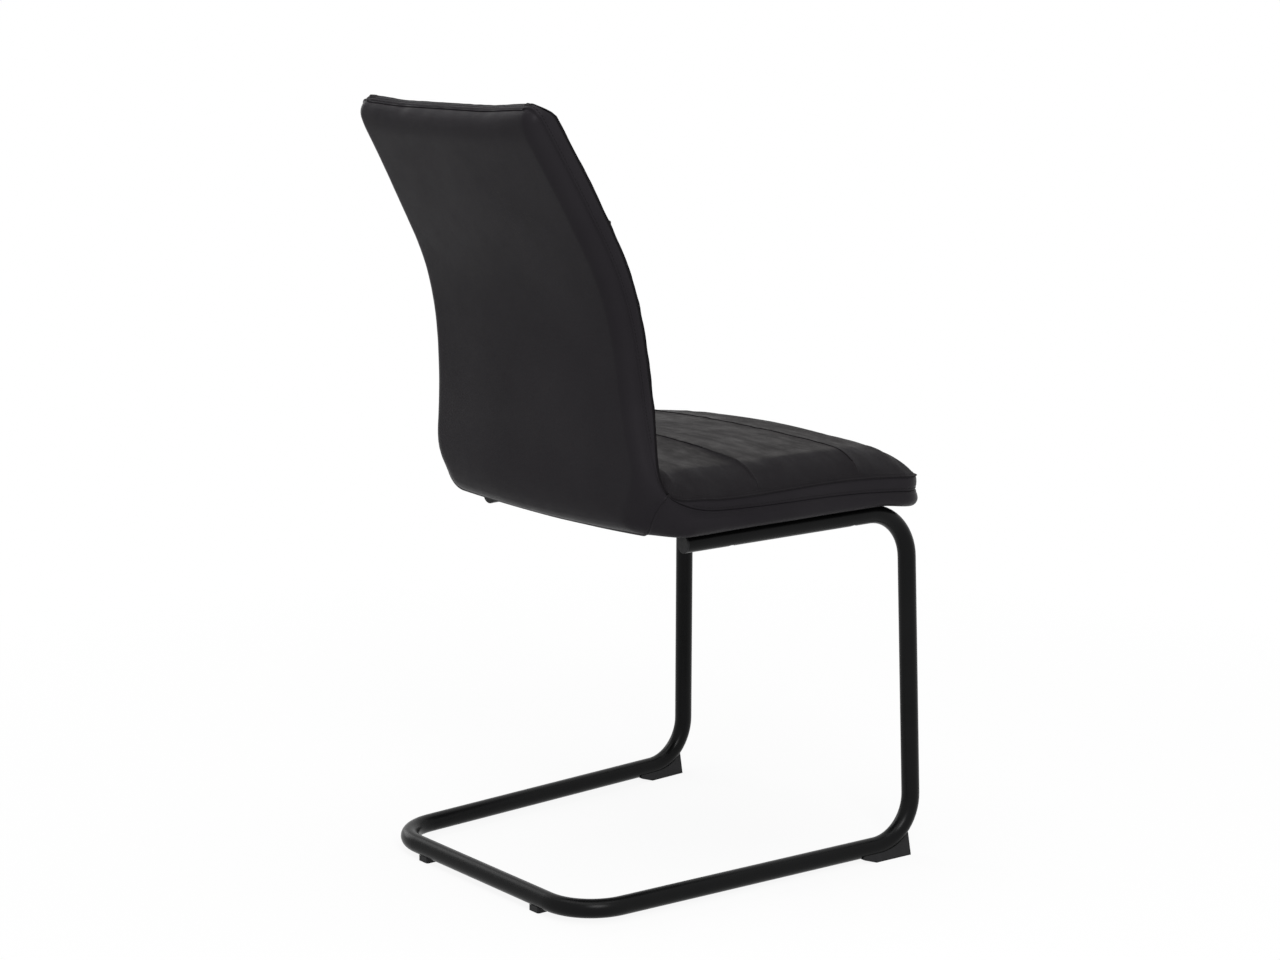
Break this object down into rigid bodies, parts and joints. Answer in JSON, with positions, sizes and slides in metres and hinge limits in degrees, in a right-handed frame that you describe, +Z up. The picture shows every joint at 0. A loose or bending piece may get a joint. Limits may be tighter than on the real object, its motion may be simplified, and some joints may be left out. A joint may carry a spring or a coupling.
{
  "type": "cantilever dining chair",
  "caption": "Cantilever chair: a bent steel tube base with open rear, an upholstered seat with cross seams and a tall curved upholstered back.",
  "frame": {"origin": "floor level, middle of the chair's overall box in width and depth", "axes": "+Z up, the sitter looks along -Y, +X to the sitter's left"},
  "size_m": [0.4672, 0.5444, 0.9143],
  "materials": {
    "black_powder_coat": "semi-gloss black powder coat on bent steel tube",
    "black_plastic": "fine matt black injection moulded plastic",
    "birch_plywood": "raw bent plywood",
    "seat_leather": "soft brushed charcoal leather with a streaky nap",
    "cover_leather": "smooth charcoal leather with a soft sheen",
    "zinc_steel": "zinc plated",
    "black_steel": "black oxide"
  },
  "bodies": {
    "root": {"frame_tube": "black_powder_coat", "left_rail_end_cap": "black_plastic", "right_rail_end_cap": "black_plastic", "left_front_glide": "black_plastic", "right_front_glide": "black_plastic", "left_rear_glide": "black_plastic", "right_rear_glide": "black_plastic", "plywood_shell": "birch_plywood", "seat_cushion": "seat_leather", "back_cushion": "seat_leather", "seat_side_strip": "cover_leather", "back_side_strip": "cover_leather", "back_rear_panel": "cover_leather", "seat_underside_panel": "cover_leather", "left_front_tee_nut": "zinc_steel", "left_rear_tee_nut": "zinc_steel", "right_front_tee_nut": "zinc_steel", "right_rear_tee_nut": "zinc_steel", "left_front_washer": "black_steel", "left_rear_washer": "black_steel", "right_front_washer": "black_steel", "right_rear_washer": "black_steel", "left_front_screw": "black_steel", "left_rear_screw": "black_steel", "right_front_screw": "black_steel", "right_rear_screw": "black_steel"}
  },
  "joints": []
}
